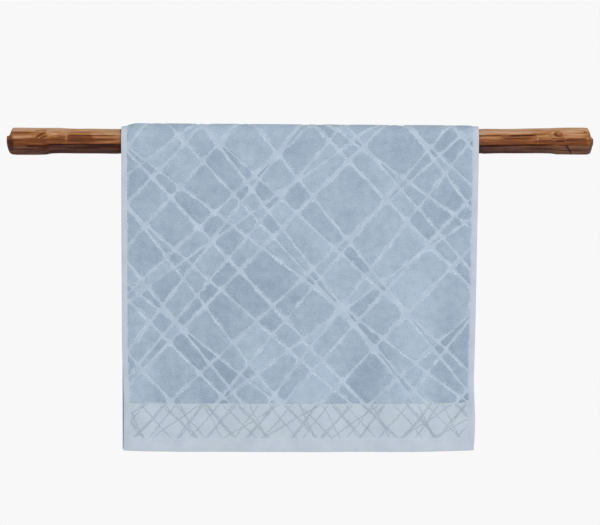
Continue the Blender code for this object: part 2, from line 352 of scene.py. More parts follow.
def woven_cloth(finishes):
    """The whole towel as one closed slab: an outer and an inner grid over the same u and v, joined
    round the rim."""
    edge = (*RIM_STOPS, 0.0040, SIDE_HEM - 0.0008, SIDE_HEM + 0.0002, SIDE_HEM + 0.0020)
    left = [-HALF + place for place in edge]
    us = spaced([*left, *[-place for place in reversed(left)]], DROP_CELL)
    hem = (*RIM_STOPS, END_HEM - 0.0008, END_HEM + 0.0008, FIELD_START, FIELD_START + 0.0020)
    ends = [TOWEL_LENGTH - place for place in reversed(hem)]
    vs = np.concatenate([
        spaced([*hem, FRONT_DROP], DROP_CELL),
        spaced([FRONT_DROP, FRONT_DROP + CROWN], CROWN_CELL)[1:],
        spaced([FRONT_DROP + CROWN, *ends], DROP_CELL)[1:],
    ])
    u, v = np.meshgrid(us, vs)
    outer = drape(u, v, cloth_half_thickness(u, v, 0.0))
    inner = drape(u, v, -cloth_half_thickness(u, v, PILE))
    rows, columns = u.shape
    number = np.arange(rows * columns).reshape(rows, columns)
    back = number + rows * columns
    face = grid_quads(rows, columns)
    faces = np.concatenate([
        face,
        face[:, ::-1] + rows * columns,
        strip_quads(number[:, 0], back[:, 0]),
        strip_quads(back[:, -1], number[:, -1]),
        strip_quads(back[0], number[0]),
        strip_quads(number[-1], back[-1]),
    ])
    uv = np.tile(np.stack([u.ravel(), v.ravel()], axis=1), (2, 1))
    middle = uv[faces].mean(axis=1)
    end = np.minimum(middle[:, 1], TOWEL_LENGTH - middle[:, 1])
    zone = np.where(end > FIELD_START, FIELD, BAND)
    zone = np.where((np.abs(middle[:, 0]) > FIELD_HALF) | (end < END_HEM), HEM, zone)
    inside = faces.min(axis=1) >= rows * columns
    zone = np.where(inside & (zone == FIELD), REVERSE, zone)
    points = np.concatenate([outer.reshape(-1, 3), inner.reshape(-1, 3)])
    return add_piece("towel_cloth", points, [faces], finishes, uv, zone)


# The sculpted net and its cushions of pile


def net_lines():
    """One row (normal u, normal v, distance, half width) for each line of the net."""
    reach = FIELD_HALF + (FIELD_END - FIELD_START) / 2 / NET_SLOPE
    count = int(reach / NET_PITCH) + 1
    k = np.arange(-count, count + 1)
    pick = k % COMPANION_EVERY == 0
    near = k[pick]
    feet, slopes, widths = [], [], []
    for lean, phase in NET_FAMILIES:
        foot = NET_PITCH * (k + PITCH_SWAY * np.sin(2.4 * k + phase))
        slope = lean * NET_SLOPE * (1 + SLOPE_SWAY * np.sin(1.7 * k + 2 * phase))
        turn = np.where(near % 2, COMPANION_TURN, -COMPANION_TURN)
        feet += [foot, foot[pick] + COMPANION_OFFSET * np.cos(near)]
        slopes += [slope, slope[pick] * (1 + turn)]
        widths += [1 + LINE_SWAY * np.sin(3.1 * k + phase), np.full(len(near), 1 - LINE_SWAY)]
    foot, slope = np.concatenate(feet), np.concatenate(slopes)
    normal = np.stack([slope, np.full(len(slope), -1.0)], axis=1) / np.hypot(slope, 1)[:, None]
    distance = normal @ np.array([0, TOWEL_LENGTH / 2]) + normal[:, 0] * foot
    return np.column_stack([normal, distance, LINE_HALF * np.concatenate(widths)])


Cells = namedtuple("Cells", "centre sign room stretch walls")


def find_cells():
    """The cells between the lines. Points with the same signs towards all lines are in one cell. Each
    gets its centre, its side of every wall and its room towards it, less the bare ground, and the way
    it stretches."""
    lines = net_lines()
    u, v = np.meshgrid(
        np.arange(-FIELD_HALF + CELL_SAMPLE / 2, FIELD_HALF, CELL_SAMPLE),
        np.arange(FIELD_START + CELL_SAMPLE / 2, FIELD_END, CELL_SAMPLE),
    )
    points = np.stack([u.ravel(), v.ravel()], axis=1)
    side = np.packbits(points @ lines[:, :2].T > lines[:, 2], axis=1)
    _, member, counts = np.unique(side, axis=0, return_inverse=True, return_counts=True)
    member = member.ravel()
    centre = np.stack([np.bincount(member, points[:, k]) for k in (0, 1)], axis=1) / counts[:, None]
    off = points - centre[member]
    pairs = (0, 0), (0, 1), (1, 0), (1, 1)
    spread = [np.bincount(member, off[:, i] * off[:, j]) / counts for i, j in pairs]
    spread = np.stack(spread, axis=1).reshape(-1, 2, 2) + np.eye(2) * (CELL_SAMPLE / 4) ** 2
    rim = [
        [1, 0, FIELD_HALF, RIM_MARGIN],
        [1, 0, -FIELD_HALF, RIM_MARGIN],
        [0, 1, FIELD_END, 0],
        [0, 1, FIELD_START, 0],
    ]
    walls = np.concatenate([lines, np.array(rim, float)])
    signed = walls[:, 2] - centre @ walls[:, :2].T
    room = np.abs(signed) - walls[:, 3]
    waver = np.sin(centre @ np.array([[97.0], [-61.0]]) + np.arange(len(lines)))
    room[:, :-RIM_WALLS] -= LINE_WAVER * np.abs(waver)
    keep = room.min(axis=1) > LEAST_CELL
    stretch = np.linalg.cholesky(spread)
    return Cells(centre[keep], np.sign(signed)[keep], room[keep], stretch[keep], walls[:, :2])


LEAST_POWER = 4.0  # how sharp the corners of a cushion without room would be
POWER_ROOM = 0.0062  # that much more room adds one to the power
FINE_SPOKES = 80  # an edge with more spokes than this can show the finer sines


def cushion_outline(cells, spokes):
    """Directions and reach of each cushion's edge from its cell's centre. The reach is the soft minimum
    of the distances to the net's lines, (sum (cos / room)^p)^(-1/p) with a higher p for a larger cell,
    cut hard by the field's rim. Spokes are spread by the cell's stretch. The edge is fuzzy with small
    sines, and with finer ones where it has the spokes for them."""
    turn = np.linspace(0, 2 * np.pi, spokes, endpoint=False)
    direction = cells.stretch @ np.stack([np.cos(turn), np.sin(turn)])
    direction = direction / np.linalg.norm(direction, axis=1)[:, None]
    share = np.maximum((cells.walls @ direction) * cells.sign[:, :, None], 0) / cells.room[:, :, None]
    power = LEAST_POWER + cells.room.min(axis=1)[:, None] / POWER_ROOM
    soft = (share[:, :-RIM_WALLS] ** power[:, :, None]).sum(axis=1) ** (1 / power)
    hard = share[:, -RIM_WALLS:].max(axis=1)
    reach = 1 / np.maximum(soft, hard)
    phase = np.arange(len(reach))[:, None] * 2.399
    fuzz = 0.00050 * np.sin(7 * turn + phase) + 0.00050 * np.sin(19 * turn + 3 * phase)
    if spokes > FINE_SPOKES:
        fuzz = fuzz + 0.00065 * np.sin(31 * turn - 5 * phase) * np.sin(5 * turn + 2 * phase)
        fuzz = fuzz + 0.00045 * np.sin(43 * turn + 7 * phase)
    return direction, np.maximum(reach + fuzz * (0.2 + 0.8 * (soft > hard)), 0.5 * reach)


# Rings of a cushion's edge: how far in, how high, and how much painted highlight its loose fringe gets
# where the tufts catch the light.
Ring = namedtuple("Ring", "inset height fringe")
EDGE_RINGS = [Ring(*row) for row in (
    (0.0, -0.30, 1.0),
    (0.0002, 0.16, 1.0),
    (0.0008, 0.48, 1.0),
    (0.0018, 0.76, 0.75),
    (0.0032, 0.92, 0.25),
    (0.0052, 1.0, 0.0),
)]
SLIM = 0.0070  # a cushion with less reach than this has its edge rings closer together
MIDDLE_RISE = 0.08
TUFT = 0.06
FOLD_SHADE_LIFT = 170.0  # painted light and shade: how much paler the pile is painted for each metre that a fold stands out, and darker for each metre it sinks in


def cushions(name, cells, inner_rings, spokes, finish):
    """Closed cushions of pile: rings round each cell's centre that climb from under the ground's surface
    over a soft edge, then shrink evenly to the centre, each ring draped over the pole."""
    direction, reach = cushion_outline(cells, spokes)
    reach = reach[:, None, :]
    inset, edge_height, edge_highlight = np.array(EDGE_RINGS).T
    inset = inset[None, :, None]
    outer = np.maximum(reach - inset, reach * (1 - inset / SLIM))
    shares = np.linspace(1, 0, inner_rings + 1, endpoint=False)[1:]
    radius = np.concatenate([outer, outer[:, -1:] * shares[None, :, None]], axis=1)
    height = np.concatenate([edge_height, 1 + MIDDLE_RISE * (1 - shares)])
    count, rings = radius.shape[:2]
    u = cells.centre[:, 0, None, None] + radius * direction[:, None, 0]
    v = cells.centre[:, 1, None, None] + radius * direction[:, None, 1]
    tuft = TUFT * np.sin(830 * u + 410 * v) * np.sin(690 * v - 520 * u)
    off = GROUND / 2 + PILE * (height[None, :, None] + tuft)
    tips = np.array([edge_height[0], 1 + MIDDLE_RISE])
    off = np.concatenate([off.reshape(count, -1), np.tile(GROUND / 2 + PILE * tips, (count, 1))], axis=1)
    u, v = (
        np.concatenate([flat.reshape(count, -1), np.repeat(cells.centre[:, k, None], 2, axis=1)], axis=1)
        for k, flat in enumerate((u, v))
    )
    each = rings * spokes + 2
    quads = repeated(grid_quads(rings, spokes, close=True), count, each)
    fans = repeated(np.concatenate(end_fans(rings, spokes)), count, each)
    # Painted highlight on the fringe rings at each cushion's edge.
    fringe = np.concatenate([np.repeat(edge_highlight, spokes), np.zeros(inner_rings * spokes), [1, 0]])
    nap_and_fold_shade = np.sin(cells.centre @ np.array([391.7, 277.3])) * 0.5 + 0.5
    # Painted light and shade: the pile is painted paler where a fold stands out and darker in a fold's
    # trough.
    nap_and_fold_shade = np.repeat(nap_and_fold_shade, each) + FOLD_SHADE_LIFT * hung(u, v).folds.ravel()
    attributes = {"fringe": np.tile(fringe, count), "nap_and_fold_shade": nap_and_fold_shade}
    uv = np.stack([u.ravel(), v.ravel()], axis=1)
    points = drape(u, v, off).reshape(-1, 3)
    return add_piece(name, points, [quads, fans], [finish], uv, attributes=attributes)


SURVEY_SPOKES = 24  # enough to tell how far a cushion reaches along the cloth
LOWER_PART = 0.38  # from the end hem's edge up to where each drop's pile is split in two
Part = namedtuple("Part", "name chosen inner_rings spokes")


def pile_pieces(finish):
    """The cushions in five pieces: two for the front drop, one over the pole, and two for the back
    drop."""
    cells = find_cells()
    direction, reach = cushion_outline(cells, SURVEY_SPOKES)
    ends = cells.centre[:, 1, None] + reach * direction[:, 1]
    front = ends.max(axis=1) < FRONT_DROP
    back = ends.min(axis=1) > FRONT_DROP + CROWN
    lower = np.minimum(cells.centre[:, 1], TOWEL_LENGTH - cells.centre[:, 1]) < LOWER_PART
    parts = (
        Part("pile_front_lower", front & lower, inner_rings=2, spokes=120),
        Part("pile_front_upper", front & ~lower, inner_rings=2, spokes=120),
        Part("pile_crown", ~front & ~back, inner_rings=9, spokes=104),
        Part("pile_back_upper", back & ~lower, inner_rings=2, spokes=64),
        Part("pile_back_lower", back & lower, inner_rings=2, spokes=64),
    )
    pieces = []
    for part in parts:
        own = Cells(*(values[part.chosen] for values in cells[:-1]), cells.walls)
        pieces.append(cushions(part.name, own, part.inner_rings, part.spokes, finish))
    return pieces


# The border band's net of thin yarns

BandFamily = namedtuple("BandFamily", "slope pitch sway twin phase")
BAND_FAMILIES = [BandFamily(*row) for row in (
    (1.22, 0.0410, 0.24, 0.0040, 0.4),
    (-1.06, 0.0450, 0.26, 0.0044, 1.9),
    (0.62, 0.1270, 0.20, 0.0, 2.7),
    (-1.95, 0.0870, 0.22, 0.0, 0.9),
)]
BAND_MARGIN = 0.0035  # from the net to the side hems
HEM_MARGIN = 0.0030  # to the end hem
FIELD_MARGIN = 0.0008  # to the field
LEAST_YARN = 0.012
YARN_HALF = 0.0012
YARN_HEIGHT = 0.00030
YARN_STATIONS = 56
YARN_SIDES = 6


def band_lines(low, high):
    """Start and end points of the slanting yarns of one band, cut to the band. Every other line of
    the families that have twins gets a second yarn beside it, not quite parallel."""
    starts, ends = [], []
    for family in BAND_FAMILIES:
        count = int(FIELD_HALF / family.pitch) + 2
        k = np.arange(-count, count + 1)
        foot = family.pitch * (k + family.sway * np.sin(2.2 * k + family.phase + 40 * low))
        slope = family.slope * (1 + 0.12 * np.sin(1.9 * k + 2 * family.phase))
        if family.twin:
            doubled = k % 2 == 0
            foot = np.concatenate([foot, foot[doubled] + family.twin])
            slope = np.concatenate([slope, slope[doubled] * (1 + 0.02 * np.cos(k[doubled]))])
        limit = FIELD_HALF - BAND_MARGIN
        reach = np.sort(np.stack([(-limit - foot) * slope, (limit - foot) * slope]), axis=0)
        start = np.maximum(reach[0], -(high - low) / 2)
        end = np.minimum(reach[1], (high - low) / 2)
        real = end - start > LEAST_YARN
        middle = (low + high) / 2
        starts.append(np.stack([foot + start / slope, middle + start], axis=1)[real])
        ends.append(np.stack([foot + end / slope, middle + end], axis=1)[real])
    return np.concatenate(starts), np.concatenate(ends)


def band_net(finish):
    """Slanting yarns that float on the flat bands: each is a flattened tube whose section, an ellipse
    half sunk in the ground, is carried along a line that wavers, and gets thinner at its ends."""
    bands = (
        (END_HEM + HEM_MARGIN, FIELD_START - FIELD_MARGIN),
        (FIELD_END + FIELD_MARGIN, TOWEL_LENGTH - END_HEM - HEM_MARGIN),
    )
    start, end = (np.concatenate(points) for points in zip(*(band_lines(*band) for band in bands)))
    along = np.linspace(0, 1, YARN_STATIONS)[None, :, None]
    line = start[:, None] * (1 - along) + end[:, None] * along
    length = np.linalg.norm(end - start, axis=1)
    heading = (end - start) / length[:, None]
    across = np.stack([-heading[:, 1], heading[:, 0]], axis=1)[:, None]
    phase = np.arange(len(start))[:, None, None] * 1.7
    gone = along * length[:, None, None]
    sway = 0.0008 * np.sin(2.6 * np.pi * along + phase) + 0.00065 * np.sin(gone * 430 + phase)
    line = line + across * (sway + 0.00040 * np.sin(gone * 1300 + 3 * phase))
    turn = np.linspace(0, 2 * np.pi, YARN_SIDES, endpoint=False)
    taper = np.minimum(1, 0.35 + 9 * along * (1 - along))
    width = YARN_HALF * (1 + 0.30 * np.sin(gone * 900 + 2 * phase)) * taper
    place = line[:, :, None] + across[:, :, None] * (width * np.cos(turn))[..., None]
    off = GROUND / 2 + YARN_HEIGHT * np.sin(turn) + 0 * place[..., 0]
    points = drape(place[..., 0], place[..., 1], off).reshape(-1, 3)
    body = grid_quads(YARN_STATIONS, YARN_SIDES, close=True)
    cap = np.array([[0, 3, 2, 1], [0, 5, 4, 3]])
    body = np.concatenate([body[:, ::-1], cap[:, ::-1], cap + (YARN_STATIONS - 1) * YARN_SIDES])
    quads = repeated(body, len(start), YARN_STATIONS * YARN_SIDES)
    return add_piece("band_net", points, [quads], [finish], place.reshape(-1, 2))


# Hem stitches

STITCH_PITCH = 0.0042
STITCH_LENGTH = 0.0033
STITCH_HALF = 0.00030
STITCH_SIDES = 5
STITCH_SHAPE = ((0.10, 0.75), (0.5, 1.0), (0.90, 0.75))  # share of the length, share of the half width
SEAM_U = FIELD_HALF + 0.0020
SEAM_V = END_HEM - 0.0024
SEAM_START = 0.004  # from the towel's side edge to an end seam's first stitch


def hem_stitches(finish):
    """Seam stitches: small closed spindles lying on the hems, in rows along the sides and ends."""
    side_v = np.arange(END_HEM, TOWEL_LENGTH - END_HEM, STITCH_PITCH)
    end_u = np.arange(-HALF + SEAM_START, HALF - SEAM_START - STITCH_LENGTH, STITCH_PITCH)
    rows = [(np.full(len(side_v), u), side_v, 0, 1) for u in (-SEAM_U, SEAM_U)]
    rows += [(end_u, np.full(len(end_u), v), 1, 0) for v in (SEAM_V, TOWEL_LENGTH - SEAM_V)]
    start = np.concatenate([np.stack([u, v], axis=1) for u, v, _, _ in rows])
    heading = np.concatenate([np.tile([[du, dv]], (len(u), 1)) for u, _, du, dv in rows]).astype(float)
    across = np.stack([-heading[:, 1], heading[:, 0]], axis=1)
    share, width = np.array(STITCH_SHAPE).T
    turn = np.linspace(0, 2 * np.pi, STITCH_SIDES, endpoint=False)
    base = GROUND / 2 + HEM_FOLD
    centre = start[:, None] + heading[:, None] * (share * STITCH_LENGTH)[:, None]
    sides = width[:, None] * STITCH_HALF * np.cos(turn)
    place = centre[:, :, None] + across[:, None, None] * sides[None, :, :, None]
    off = base + width[:, None] * STITCH_HALF * np.sin(turn) + 0 * place[..., 0]
    count = len(start)
    tips = start[:, None] + heading[:, None] * np.array([0, STITCH_LENGTH])[:, None]
    place = np.concatenate([place.reshape(count, -1, 2), tips], axis=1)
    off = np.concatenate([off.reshape(count, -1), np.full((count, 2), base)], axis=1)
    each = place.shape[1]
    fans = repeated(np.concatenate(end_fans(len(share), STITCH_SIDES))[:, ::-1], count, each)
    quads = repeated(grid_quads(len(share), STITCH_SIDES, close=True)[:, ::-1], count, each)
    points = drape(place[..., 0], place[..., 1], off).reshape(-1, 3)
    return add_piece("hem_stitches", points, [quads, fans], [finish], place.reshape(-1, 2))


# The pole

FRONT, BACK = 1, -1
Mark = namedtuple("Mark", "side place height length width slant dark depth")
FRONT_MARKS = (  # hewn grooves, panels, cracks and streaks; the dark of the grooves, cracks and long lines along the lower ridges is partly painted shade in their hollows, and a negative dark is a pale place, partly a painted highlight
    (0.1565, 0.0120, 0.060, 0.0016, -0.010, 0.40, 0.0012),
    (0.1590, 0.0040, 0.064, 0.0075, 0.000, 0.15, 0.0006),
    (0.1275, 0.0050, 0.0046, 0.0080, 0.000, -0.16, -0.0004),
    (0.0735, 0.0118, 0.028, 0.0014, 0.550, 0.42, 0.0006),
    (0.0740, 0.0150, 0.020, 0.0013, 0.440, 0.36, 0.0005),
    (0.0800, 0.0083, 0.018, 0.0014, 0.360, 0.40, 0.0005),
    (0.0740, 0.0222, 0.030, 0.0014, 0.040, 0.34, 0.0003),
    (0.0390, 0.0020, 0.056, 0.0014, 0.000, 0.24, 0.0003),
    (0.0900, 0.0022, 0.070, 0.0013, 0.020, 0.24, 0.0003),
    (0.0640, -0.0110, 0.050, 0.0015, 0.060, 0.34, 0.0004),
    (0.1030, -0.0088, 0.044, 0.0017, 0.030, 0.34, 0.0004),
    (0.1660, -0.0082, 0.190, 0.0017, -0.004, 0.46, 0.0004),
    (0.0350, 0.0085, 0.050, 0.0022, 0.000, -0.16, 0.0),
    (0.0300, 0.0180, 0.050, 0.0013, 0.000, 0.20, 0.0002),
    (0.0980, 0.0110, 0.026, 0.0045, 0.000, -0.14, 0.0),
    (0.2020, 0.0112, 0.076, 0.0013, 0.005, 0.22, 0.0003),
    (0.2100, 0.0072, 0.080, 0.0018, 0.010, -0.10, 0.0),
    (0.2100, 0.0030, 0.070, 0.0012, -0.010, 0.20, 0.0002),
    (0.2200, -0.0020, 0.060, 0.0018, 0.000, -0.14, 0.0),
    (0.1550, 0.0185, 0.070, 0.0012, 0.000, 0.22, 0.0002),
    (0.0100, -0.0030, 0.014, 0.0120, 0.000, 0.20, 0.0),
    (1.0990, 0.0110, 0.062, 0.0016, 0.010, 0.40, 0.0011),
    (1.0900, 0.0050, 0.070, 0.0014, 0.012, 0.32, 0.0003),
    (1.0800, 0.0000, 0.080, 0.0055, 0.000, 0.10, 0.0004),
    (1.0300, 0.0066, 0.060, 0.0020, 0.000, -0.10, 0.0),
    (1.0300, 0.0112, 0.060, 0.0012, 0.000, 0.20, 0.0003),
    (1.1320, 0.0045, 0.0056, 0.0085, 0.000, -0.15, -0.0004),
    (1.1400, 0.0165, 0.050, 0.0013, 0.050, 0.26, 0.0003),
    (1.1450, 0.0100, 0.028, 0.0035, 0.000, -0.14, 0.0),
    (1.1460, 0.0000, 0.044, 0.0014, 0.030, 0.24, 0.0002),
    (1.1700, 0.0150, 0.0090, 0.0045, 0.300, 0.16, 0.0006),
    (1.1800, 0.0085, 0.022, 0.0015, -0.250, 0.20, 0.0004),
    (1.1770, 0.0044, 0.034, 0.0014, 0.000, 0.28, 0.0004),
    (1.1790, -0.0016, 0.022, 0.0013, 0.000, 0.34, 0.0003),
    (1.2150, 0.0038, 0.050, 0.0016, 0.000, 0.30, 0.0003),
    (1.2120, 0.0120, 0.048, 0.0022, 0.000, -0.12, 0.0),
    (1.0880, -0.0100, 0.180, 0.0017, 0.014, 0.48, 0.0004),
    (1.1870, -0.0108, 0.026, 0.0014, -0.050, 0.26, 0.0005),
    (1.1990, -0.0200, 0.015, 0.0024, -1.250, 0.34, 0.0010),
    (1.2330, 0.0190, 0.0080, 0.0016, -0.500, 0.30, 0.0004),
    (1.2420, 0.0000, 0.0140, 0.0090, 0.000, -0.10, 0.0),
)
BACK_MARKS = (
    (0.0660, 0.0100, 0.034, 0.0014, -0.250, 0.40, 0.0006),
    (0.1300, 0.0120, 0.060, 0.0016, 0.012, 0.42, 0.0011),
    (0.1550, 0.0020, 0.080, 0.0080, 0.000, 0.12, 0.0006),
    (0.1200, -0.0085, 0.230, 0.0018, 0.004, 0.30, 0.0004),
    (1.0900, 0.0110, 0.070, 0.0016, -0.010, 0.42, 0.0010),
    (1.1250, -0.0088, 0.230, 0.0018, -0.004, 0.30, 0.0004),
    (1.1350, -0.0020, 0.046, 0.0070, 0.000, -0.15, 0.0),
    (1.1900, -0.0160, 0.022, 0.0016, 0.500, 0.45, 0.0010),
)
MARKS = [Mark(FRONT, *row) for row in FRONT_MARKS] + [Mark(BACK, *row) for row in BACK_MARKS]
Knot = namedtuple("Knot", "side place height size")
KNOTS = (
    Knot(FRONT, place=1.1765, height=0.0138, size=0.0066),
    Knot(BACK, place=0.0900, height=0.0090, size=0.0070),
    Knot(BACK, place=1.2050, height=0.0110, size=0.0064),
)
Flats = namedtuple("Flats", "place upper middle lower crown front side under")
# Heights at which the hewn flats meet, and how light each flat is painted, from the top down: the
# crown's lightness is partly painted highlight and the under flat's darkness painted shade, as the light
# falls from above, besides the wood's own tone along its length
FLATS = [Flats(*row) for row in (
    (0.000, 0.0200, 0.0030, -0.0100, 0.80, 0.60, 0.36, 0.28),
    (0.012, 0.0200, 0.0020, -0.0110, 0.85, 0.67, 0.41, 0.34),
    (0.060, 0.0185, 0.0018, -0.0112, 0.86, 0.66, 0.43, 0.34),
    (0.084, 0.0160, 0.0015, -0.0092, 0.84, 0.66, 0.44, 0.26),
    (0.097, 0.0130, 0.0010, -0.0085, 0.83, 0.55, 0.50, 0.24),
    (0.234, 0.0118, 0.0000, -0.0085, 0.83, 0.57, 0.50, 0.23),
    (1.019, 0.0120, 0.0000, -0.0095, 0.81, 0.53, 0.46, 0.32),
    (1.129, 0.0140, 0.0010, -0.0100, 0.77, 0.52, 0.45, 0.33),
    (1.174, 0.0160, 0.0020, -0.0105, 0.82, 0.64, 0.43, 0.37),
    (1.252, 0.0190, 0.0030, -0.0100, 0.82, 0.62, 0.43, 0.39),
)]


def section_reach(angle, flatness):
    """Outline of a rounded six-sided section with unit flats: (sum max(cos, 0)^p)^(-1/p)."""
    total = 0.0
    for k in range(6):
        total = total + np.maximum(np.cos(angle - k * np.pi / 3), 0) ** flatness
    return total ** (-1 / flatness)


def tool_marks(place, angle):
    """How far the hewing raises the wood: long shallow scallops along each flat, and fine grain cut
    open by the blade."""
    strokes = np.sin(52 * place + 3 * np.sin(2 * angle) + 2 * np.sin(angle))
    strokes = strokes * np.sin(23 * place - 4 * angle)
    grain = np.sin(41 * angle + 5 * np.sin(9 * place)) * np.sin(67 * angle + 11 * np.sin(4 * place + 1))
    return 0.00024 * strokes + 0.00007 * grain


def carving(place, angle, height):
    """Depth and darkness of the marks and knots; in the marks the darkness is partly painted shade in
    their hollows, and a pale mark partly a painted highlight. A mark is a bell across times a soft
    window along. A knot is two dark, sunken rings on a low swelling."""
    depth, dark = np.zeros_like(place), np.zeros_like(place)
    for mark in MARKS:
        facing = smooth(mark.side * np.cos(angle) / 0.3)
        along = np.abs(place - mark.place) / (mark.length / 2)
        off = (height - mark.height - mark.slant * (place - mark.place)) / mark.width
        amount = np.exp(-(off**2)) * smooth((1 - along) / 0.4) * facing
        depth, dark = depth + mark.depth * amount, dark + mark.dark * amount
    for knot in KNOTS:
        facing = smooth(knot.side * np.cos(angle) / 0.3)
        away = np.hypot((place - knot.place) / 1.35, height - knot.height) / knot.size
        rings = np.exp(-(((away - 0.86) / 0.13) ** 2)) + 0.9 * np.exp(-(((away - 0.42) / 0.14) ** 2))
        dark = dark + 0.30 * rings * facing
        depth = depth + (0.0004 * rings - 0.0009 * np.exp(-(away**2))) * facing
    return depth, np.clip(dark, -0.4, 0.6)


def wood_tone_and_shade(place, height):
    """How light the wood is painted at each place and height, from its flats, with a soft step where two
    meet: painted highlight on the upper flats and painted shade on the flats under them, besides the
    wood's own tone; and whether that place faces the light or the floor."""
    upper, middle, lower, crown, front, side, under = (
        read_off(FLATS, place, field) for field in Flats._fields[1:]
    )
    lit = smooth((height - lower) / 0.0016 + 0.5)
    tone_and_shade = under + (side - under) * lit
    tone_and_shade = tone_and_shade + (front - side) * smooth((height - middle) / 0.0022 + 0.5)
    return tone_and_shade + (crown - front) * smooth((height - upper) / 0.0026 + 0.5), lit


POLE_SPOKES = 160
COVERED = (0.247, 1.005)  # the stations between which the towel hides most of the wood
BARE_STEP = 0.0017
COVERED_STEP = 0.0080
EVEN_END = 0.016  # the marks fade out over this much towards each sawn end
SKIN = 0.0001  # how far the wood lies inside its solid, before its marks
SAWN_RINGS = ((0, 0.4), (0, 0.8), (-1, 0.8), (-1, 0.4))  # which end, and share of its size
TIP_TONE = 0.4


def pole_wood(finishes):
    """The pole as rings round its axis: the hewn section at each place, less its carvings and with its
    tool marks, closed at each sawn end."""
    stops = [station.place for station in POLE_STATIONS]
    left, right = (stops.index(place) for place in COVERED)
    places = np.concatenate([
        spaced(stops[: left + 1], BARE_STEP),
        spaced(stops[left : right + 1], COVERED_STEP)[1:],
        spaced(stops[right:], BARE_STEP)[1:],
    ])
    angles = np.linspace(-np.pi, np.pi, POLE_SPOKES, endpoint=False)
    place, angle = np.meshgrid(places, angles, indexing="ij")
    top, bottom, flatness = (read_off(POLE_STATIONS, place, field) for field in Station._fields[1:])
    turn = POLE_TURN + POLE_TWIST * np.sin(TWIST_RATE * (place - POLE_LENGTH / 2))
    radius = (top + bottom) / 2 + (top - bottom) / 2 * np.sin(angle)
    upright = section_reach(np.pi / 2 - POLE_TURN, flatness)
    reach = radius * section_reach(angle - turn, flatness) / upright
    ends = smooth(np.minimum(place, POLE_LENGTH - place) / EVEN_END)
    depth, dark = carving(place, angle, np.sin(angle) * reach)
    reach = reach - SKIN + tool_marks(place, angle) * ends - depth * ends
    points = np.stack([place - POLE_LENGTH / 2, -np.cos(angle) * reach, np.sin(angle) * reach], axis=-1)
    along, round_axis = np.array([1, 0, 0]), np.array([0, 1, 1])
    inner = [points[[row]] * (along + share * round_axis) for row, share in SAWN_RINGS]
    rings = np.concatenate([*inner[:2], points, *inner[2:]])
    total = len(rings)
    tips = np.array([[-POLE_LENGTH / 2, 0, 0], [POLE_LENGTH / 2, 0, 0]])
    # Painted highlight on the upper flats and painted shade on the flats under them, besides the wood's
    # own tone; lit marks the places that get the lit copy of the wood's colours.
    tone_and_shade, lit = wood_tone_and_shade(place, points[..., 2])
    tone_and_shade, lit = (
        np.concatenate([np.tile(value[0], 2), value.ravel(), np.tile(value[-1], 2), [TIP_TONE] * 2])
        for value in (tone_and_shade - dark, lit)
    )
    quads = grid_quads(total, POLE_SPOKES, close=True)[:, ::-1]
    row = np.arange(len(quads)) // POLE_SPOKES
    sawn = (row < 2) | (row >= total - 3)
    fans = np.concatenate(end_fans(total, POLE_SPOKES))[:, ::-1]
    chosen = np.concatenate([sawn, np.ones(len(fans), bool)])
    points = np.concatenate([rings.reshape(-1, 3), tips])
    attributes = {"tone_and_shade": tone_and_shade, "lit": lit}
    return add_piece("pole_wood", points, [quads, fans], finishes, chosen=chosen, attributes=attributes)


# Finishes


def seen(red, green, blue):
    """A colour given as it is seen, 0 to 255 a channel, as linear light with full opacity."""
    share = np.array([red, green, blue]) / 255
    linear = np.where(share < 0.04045, share / 12.92, ((share + 0.055) / 1.055) ** 2.4)
    return (*linear.tolist(), 1.0)


class Wire:
    """A value in a finish. Sums, differences and products with another or a number add Math nodes."""

    def __init__(self, finish, socket):
        self.finish = finish
        self.socket = socket

    def math(self, operation, other):
        return self.finish.node("ShaderNodeMath", {"operation": operation}, {0: self, 1: other})

    def __add__(self, other):
        return self.math("ADD", other)

    def __sub__(self, other):
        return self.math("SUBTRACT", other)

    def __mul__(self, other):
        return self.math("MULTIPLY", other)

    def step(self, low, high):
        """0 below low, 1 above high, and soft between them."""
        inputs = {"Value": self, "From Min": low, "From Max": high}
        return self.finish.node("ShaderNodeMapRange", {"interpolation_type": "SMOOTHSTEP"}, inputs)


